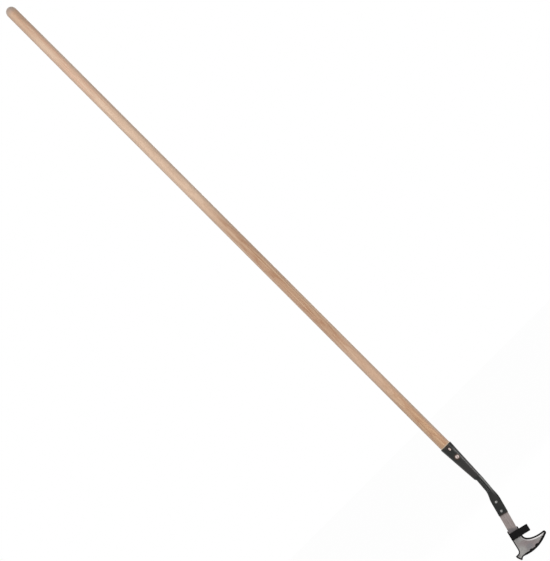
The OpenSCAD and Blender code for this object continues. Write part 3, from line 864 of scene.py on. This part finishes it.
def blade_finish():
    made, place = start_finish("blade_ground_steel")
    own = head_place(place)
    x, y, z = (axis_of(own, letter) for letter in "XYZ")
    gap, scale_w, black, honed = (mark_of(place, n) for n in ("edge_gap", "scale_w", "black", "honed"))
    patches = cloud(own, (9, 9, 9), 3.0)
    blots = cloud(own, (3.0, 3.0, 3.0), 3.0, 4.0)
    fine = cloud(own, (0.6, 0.6, 0.6), 3.0, 7.0)
    grind = cloud(own, (14, 14, 0.3), 3.0, 2.0)
    metal = blend(tint(146, 143, 141), tint(128, 123, 122), patches.step(0.35, 0.68))
    # The ground face is paler towards the heel, and pinkish in a band across its middle
    lit = (x * 0.8 - z + (patches - 0.5) * 16).step(72, 92) * x.step(13, -6)
    metal = blend(metal, tint(166, 164, 161), lit * 0.7)
    rosy = (x + z * 0.9 + 76).step(-12, 4) * (x + z * 0.9 + 66).step(26, 12) * z.step(-72, -82)
    metal = blend(metal, tint(134, 120, 121), rosy * 0.6)
    metal = blend(metal, tint(128, 128, 131), near(own, (16, 0, -99), 4, 11) * 0.6)
    metal = blend(metal, tint(160, 159, 157), near(own, (0, 0, -70), 5, 12) * 0.55)
    heel_end = (z + x * 0.5).step(-106, -115) * near(own, (-19, 0, -104), 3, 9)
    metal = blend(metal, tint(104, 102, 101), heel_end * 0.7)
    # Above the bar the face was not ground
    metal = blend(metal, tint(102, 101, 103), z.step(-54, -48) * 0.8)
    # The grinder leaves fine bright and dark lines across the blade
    metal = blend(metal, tint(172, 170, 168), grind.step(0.52, 0.72) * 0.45)
    metal = blend(metal, tint(110, 106, 105), grind.step(0.45, 0.30) * 0.35)
    metal = blend(metal, tint(104, 100, 99), fine.step(0.60, 0.78) * 0.30)
    back = y.step(tang_t / 2 + blade_t - 0.6, tang_t / 2 + blade_t - 0.1)
    metal = blend(metal, tint(84, 82, 81), back * (0.55 + 0.3 * blots.step(0.35, 0.65)))
    # A painted highlight lies on the honed line, brightest towards the hook
    line = gap.step(3.5, 4.4) * gap.step(7.6, 5.8) * honed
    metal = blend(metal, tint(172, 169, 168), line * 0.85)
    metal = blend(metal, tint(218, 215, 214), line * x.step(12, 32) * x.step(68, 50))
    ragged = (blots - 0.5) * 5.0 * black.step(0.95, 1.0) * (1.0 - honed) + (fine - 0.5) * 0.9
    # The scale swells to two lumps along the belly, and thins out where the belly meets the heel
    lumps = near(own, (14.5, 0, -108), 2, 6) + near(own, (32, 0, -104), 2.5, 6)
    reach = scale_w + lumps * 4.0 - near(own, (-1, 0, -113), 2, 7) * 2.6
    crust = (gap + ragged - reach).step(0.5, -0.3) * black
    metal = blend(metal, tint(14, 12, 13), crust)
    rough = 0.44 + 0.12 * fine + 0.14 * crust
    shine = 0.72 - 0.60 * crust
    relief = fine * 0.35 + blots * 0.5 + crust * 0.7 + grind * 0.5
    return finish_with(made, {"Specular IOR Level": 0.15}, Base_Color=metal, Roughness=rough,
                       Metallic=shine, Normal=bump(relief, 0.4, 0.12))


blade_points, blade_faces, blade_marks = blade_mesh()
blade = add_piece("hooked_blade", blade_points, blade_faces, blade_finish(), 30.0, blade_marks)
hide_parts("blade")
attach(blade, "root")

# Stop bar: a short length of rectangular bar, welded across the blade's neck with one end free
# over the throat. Matt black paint.
stop_len = 50.8
stop_h = 18.0
stop_t = 8.0
stop_corner = 1.5


def stop_outline():
    """The bar's front, turned by its small rise about its upper edge on the centre line."""
    left = -half_blade
    r = stop_corner
    flat = np.concatenate([arc(left + r, -stop_h + r, r, 180, 270),
                           arc(left + stop_len - r, -stop_h + r, r, 270, 360),
                           arc(left + stop_len - r, -r, r, 0, 90),
                           arc(left + r, -r, r, 90, 180)])
    turn = np.array([[np.cos(stop_rise), np.sin(stop_rise)], [-np.sin(stop_rise), np.cos(stop_rise)]])
    return flat @ turn + [0, stop_edge(0)]


def bar_finish():
    made, place = start_finish("stop_bar_black")
    patches = cloud(place, (5, 5, 5), 3.0)
    fine = cloud(place, (0.8, 0.8, 0.8), 3.0, 3.0)
    coat = blend(tint(8, 7, 8), tint(15, 14, 15), patches.step(0.35, 0.7))
    coat = blend(coat, tint(6, 6, 7), fine.step(0.5, 0.75) * 0.6)
    rough = 0.62 + 0.2 * fine
    return finish_with(made, {"Specular IOR Level": 0.12}, Base_Color=coat, Roughness=rough,
                       Normal=bump(patches + fine * 0.6, 0.6, 0.3))


bar_rings = plate(stop_outline(), tang_t / 2 - stop_t, tang_t / 2, 0.6)
bar = add_piece("black_stop_bar", *skin(bar_rings), bar_finish())
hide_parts("stop_bar")
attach(bar, "root")

# Welds: two hand-laid fillet beads behind, one between the tang and the blade's top edge and one
# between the bar and the blade's slanted neck. Dark steel, rippled as laid.
weld_leg = 3.5
ripple = 1.9


def bead(start, along, out, back, length):
    """Rings of a quarter-round bead in the tang's frame, with ripples and tapered ends."""
    start, along, out, back = (np.array(v, float) for v in (start, along, out, back))
    rings = []
    for run in np.arange(0, length + 0.01, 0.2):
        run = min(run, length)
        taper = np.sqrt(np.clip(min(run, length - run) / 2.2, 0.02, 1))
        points = [start + along * run]
        for angle in np.radians(np.linspace(0, 90, 11)):
            lag = 0.8 * np.sin(angle * 2)
            wave = np.abs(np.sin(np.pi * (run + lag) / ripple))
            r = weld_leg * taper * (0.93 + 0.07 * wave)
            points.append(start + along * run + r * (out * np.cos(angle) + back * np.sin(angle)))
        rings.append(on_head(points))
    return rings


def weld_finish():
    made, place = start_finish("weld_as_laid")
    patches = cloud(place, (2.5, 2.5, 2.5), 3.0)
    fine = cloud(place, (0.5, 0.5, 0.5), 3.0, 3.0)
    metal = blend(tint(112, 108, 105), tint(74, 70, 69), patches.step(0.35, 0.7))
    metal = blend(metal, tint(120, 98, 80), fine.step(0.62, 0.8) * 0.5)
    rough = 0.4 + 0.2 * fine
    return finish_with(made, {"Metallic": 0.7}, Base_Color=metal, Roughness=rough,
                       Normal=bump(fine + patches * 0.5, 0.5, 0.12))


weld_metal = weld_finish()
seam_end = half_blade - top_r
neck_foot = throat_side + throat_flare
foot_down = throat_down - throat_lead
slant = np.arctan2(half_blade - neck_foot, foot_down - top_r)
weld_runs = {
    "tang_weld": bead((-seam_end, tang_t / 2, -tang_show), (1, 0, 0), (0, 0, 1), (0, 1, 0),
                      2 * seam_end),
    "stop_weld": bead((neck_foot, tang_t / 2, -tang_show - foot_down),
                      (np.sin(slant), 0, np.cos(slant)), (np.cos(slant), 0, -np.sin(slant)),
                      (0, 1, 0), foot_down - top_r - stop_down / 2)}
for name, rings in weld_runs.items():
    piece = add_piece("bead_" + name, *skin(rings), weld_metal, 60.0)
    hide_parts(name)
    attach(piece, "root")

# Floor and light: a pale floor under the tool and an even white studio round it, with a broad
# lamp from the heel side, a narrow one from the hook side, a small one low down there and one
# behind. All of it is staging.
camera_x, camera_z = -8.4, -69.2
camera_y = -14980.0
stage_white = (1.0, 1.0, 1.0, 1.0)
floor_glow = 0.97


def seen(start):
    """1 for what the camera sees, straight or in a shiny surface."""
    rays = [start.node("LightPath", {}, {}, kind)
            for kind in ("Is Camera Ray", "Is Glossy Ray", "Is Transmission Ray")]
    return (rays[0] + rays[1] + rays[2]).math("MINIMUM", 1.0)


def make_floor():
    mesh = bpy.data.meshes.new("floor")
    far, z = 12.0, cad_low.z - 0.0005
    mesh.from_pydata([(-far, -far, z), (far, -far, z), (far, far, z), (-far, far, z)], [], [(0, 1, 2, 3)])
    floor = bpy.data.objects.new("floor", mesh)
    bpy.context.scene.collection.objects.link(floor)
    made = bpy.data.materials.new("floor_pale")
    made.use_nodes = True
    start = Wire(made.node_tree)
    tree = made.node_tree
    plain = tree.nodes["Principled BSDF"]
    plain.inputs["Base Color"].default_value = (0.95, 0.95, 0.95, 1)
    plain.inputs["Roughness"].default_value = 0.9
    plain.inputs["Specular IOR Level"].default_value = 0.0
    glow = start.node("Emission", {}, {"Color": stage_white, "Strength": 1.0})
    share = seen(start) * floor_glow
    mixed = start.node("MixShader", {}, {0: share, 1: Wire(tree, plain.outputs[0]), 2: glow})
    tree.links.new(mixed.output, tree.nodes["Material Output"].inputs["Surface"])
    mesh.materials.append(made)


def make_world(fill):
    world = bpy.data.worlds.new("studio")
    bpy.context.scene.world = world
    world.use_nodes = True
    start = Wire(world.node_tree)
    share = seen(start)
    strength = fill + share * (1 - fill)
    sky = world.node_tree.nodes["Background"]
    sky.inputs["Color"].default_value = stage_white
    world.node_tree.links.new(strength.output, sky.inputs["Strength"])


def add_lamp(name, place, target, size, watts):
    light = bpy.data.lights.new(name, "AREA")
    light.shape = "RECTANGLE"
    light.size, light.size_y = size
    light.energy = watts
    lamp = bpy.data.objects.new(name, light)
    lamp.location = place
    aim = Vector(target) - lamp.location
    lamp.rotation_mode = "QUATERNION"
    lamp.rotation_quaternion = aim.to_track_quat("-Z", "Y")
    lamp.visible_camera = False
    bpy.context.scene.collection.objects.link(lamp)


make_floor()
make_world(0.56)
add_lamp("broad_lamp", (-2.2, -2.6, 0.9), (0, 0, 0.2), (2.2, 2.6), 56)
add_lamp("strip_lamp", (2.6, -1.0, -0.2), (0, 0, -0.04), (0.35, 2.6), 14)
add_lamp("back_lamp", (0.8, 3.0, 1.0), (0, 0, 0.2), (2.4, 2.4), 45)
add_lamp("low_side_lamp", (0.406, -0.109, -0.80), (0, 0, -0.75), (0.16, 0.28), 0.85)

# Camera: far off with a long lens, level with the tool and square to the blade's face, rolled so
# that the handle runs from the upper left to the lower right, as in the photograph.
lens = bpy.data.cameras.new("camera")
lens.type = "PERSP"
lens.lens = 400.0
lens.sensor_width = 36.0
camera = bpy.data.objects.new("camera", lens)
image_right = Vector((1, 0, -1)).normalized()
image_up = Vector((1, 0, 1)).normalized()
turned = Matrix([image_right, image_up, image_right.cross(image_up)]).transposed().to_4x4()
camera.matrix_world = Matrix.Translation(Vector((camera_x, camera_y, camera_z)) * MM) @ turned
bpy.context.scene.collection.objects.link(camera)
bpy.context.scene.camera = camera
bpy.context.scene.view_settings.view_transform = "Standard"
